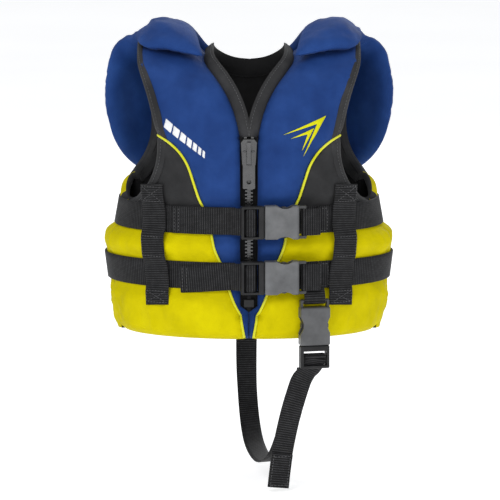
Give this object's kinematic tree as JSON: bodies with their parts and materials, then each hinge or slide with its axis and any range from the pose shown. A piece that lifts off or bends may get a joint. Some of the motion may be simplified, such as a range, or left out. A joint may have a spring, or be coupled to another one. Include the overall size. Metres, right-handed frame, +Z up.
{
  "type": "life jacket",
  "caption": "Small child life jacket with zip front, belts with side-release buckles, head-support collar and crotch strap.",
  "frame": {"origin": "middle of the inner shoulder line, where the straps bear on the shoulders of the wearer", "axes": "+Z up, -Y to the front (the zip), +X to the left of the wearer"},
  "size_m": [0.2748, 0.2405, 0.4377],
  "materials": {
    "blue_shell": "matte",
    "charcoal_shell": "matte",
    "yellow_shell": "matte",
    "lining": "matte",
    "foam": "matte",
    "binding": "matte",
    "piping": "satin",
    "webbing": "satin",
    "buckle_plastic": "satin",
    "zip_plastic": "satin",
    "zip_tape": "matte",
    "zip_slider": "satin"
  },
  "bodies": {
    "jacket": {"armhole_binding_left": "binding", "armhole_binding_right": "binding", "back_foam": "foam", "back_lining": "lining", "back_waist_panel": "yellow_shell", "back_yoke_panel": "blue_shell", "belt_keeper_left": "webbing", "belt_keeper_right": "webbing", "chest_centre_panel_left": "blue_shell", "chest_centre_panel_right": "blue_shell", "chest_side_panel_left": "charcoal_shell", "chest_side_panel_right": "charcoal_shell", "front_foam_left": "foam", "front_foam_right": "foam", "front_lining_left": "lining", "front_lining_right": "lining", "leg_socket": "buckle_plastic", "leg_socket_loop": "webbing", "leg_strap": "webbing", "leg_strap_anchor": "webbing", "lower_belt": "webbing", "lower_socket": "buckle_plastic", "lower_socket_loop": "webbing", "neck_binding": "binding", "piping_left": "piping", "piping_right": "piping", "shoulder_cap_left": "blue_shell", "shoulder_cap_right": "blue_shell", "side_gusset_left": "yellow_shell", "side_gusset_right": "yellow_shell", "upper_belt": "webbing", "upper_socket": "buckle_plastic", "upper_socket_loop": "webbing", "waist_panel_left": "yellow_shell", "waist_panel_right": "yellow_shell", "zip_retainer_box": "zip_plastic", "zip_tape_left": "zip_tape", "zip_tape_right": "zip_tape", "zip_teeth_left": "zip_plastic", "zip_teeth_right": "zip_plastic", "zip_top_stops": "zip_plastic"},
    "slider": {"zip_slider": "zip_slider"},
    "pull_tab": {"zip_pull": "zip_slider"},
    "upper_buckle_plug": {"upper_plug": "buckle_plastic", "upper_prongs": "buckle_plastic", "upper_tail": "webbing"},
    "lower_buckle_plug": {"lower_plug": "buckle_plastic", "lower_prongs": "buckle_plastic", "lower_tail": "webbing"},
    "leg_buckle_plug": {"leg_plug": "buckle_plastic", "leg_prongs": "buckle_plastic", "leg_strap_tail": "webbing", "leg_strap_tail_hem": "webbing"},
    "head_support": {"head_support_cover": "blue_shell", "head_support_foam": "foam", "grab_handle": "webbing"}
  },
  "joints": [
    {"name": "zip_slide", "type": "slide", "parent": "jacket", "child": "slider", "axis": [0, 0, 1], "range_m": [-0.118, 0], "deforming": ["zip_teeth_left", "zip_teeth_right"]},
    {"name": "zip_pull_swing", "type": "hinge", "parent": "slider", "child": "pull_tab", "pos_m": [0, -0.091, -0.076], "axis": [-1, 0, 0], "range_deg": [0, 150]},
    {"name": "upper_buckle_release", "type": "slide", "parent": "jacket", "child": "upper_buckle_plug", "axis": [-0.9925, -0.1219, 0], "range_m": [0, 0.028], "deforming": ["upper_prongs"]},
    {"name": "lower_buckle_release", "type": "slide", "parent": "jacket", "child": "lower_buckle_plug", "axis": [-0.9925, -0.1219, 0], "range_m": [0, 0.028], "deforming": ["lower_prongs"]},
    {"name": "leg_buckle_release", "type": "slide", "parent": "jacket", "child": "leg_buckle_plug", "axis": [0, 0, -1], "range_m": [0, 0.028], "deforming": ["leg_prongs", "leg_strap"]},
    {"name": "head_support_flip", "type": "hinge", "parent": "jacket", "child": "head_support", "pos_m": [0, 0.0355, 0.0375], "axis": [1, 0, 0], "range_deg": [0, 110]}
  ]
}
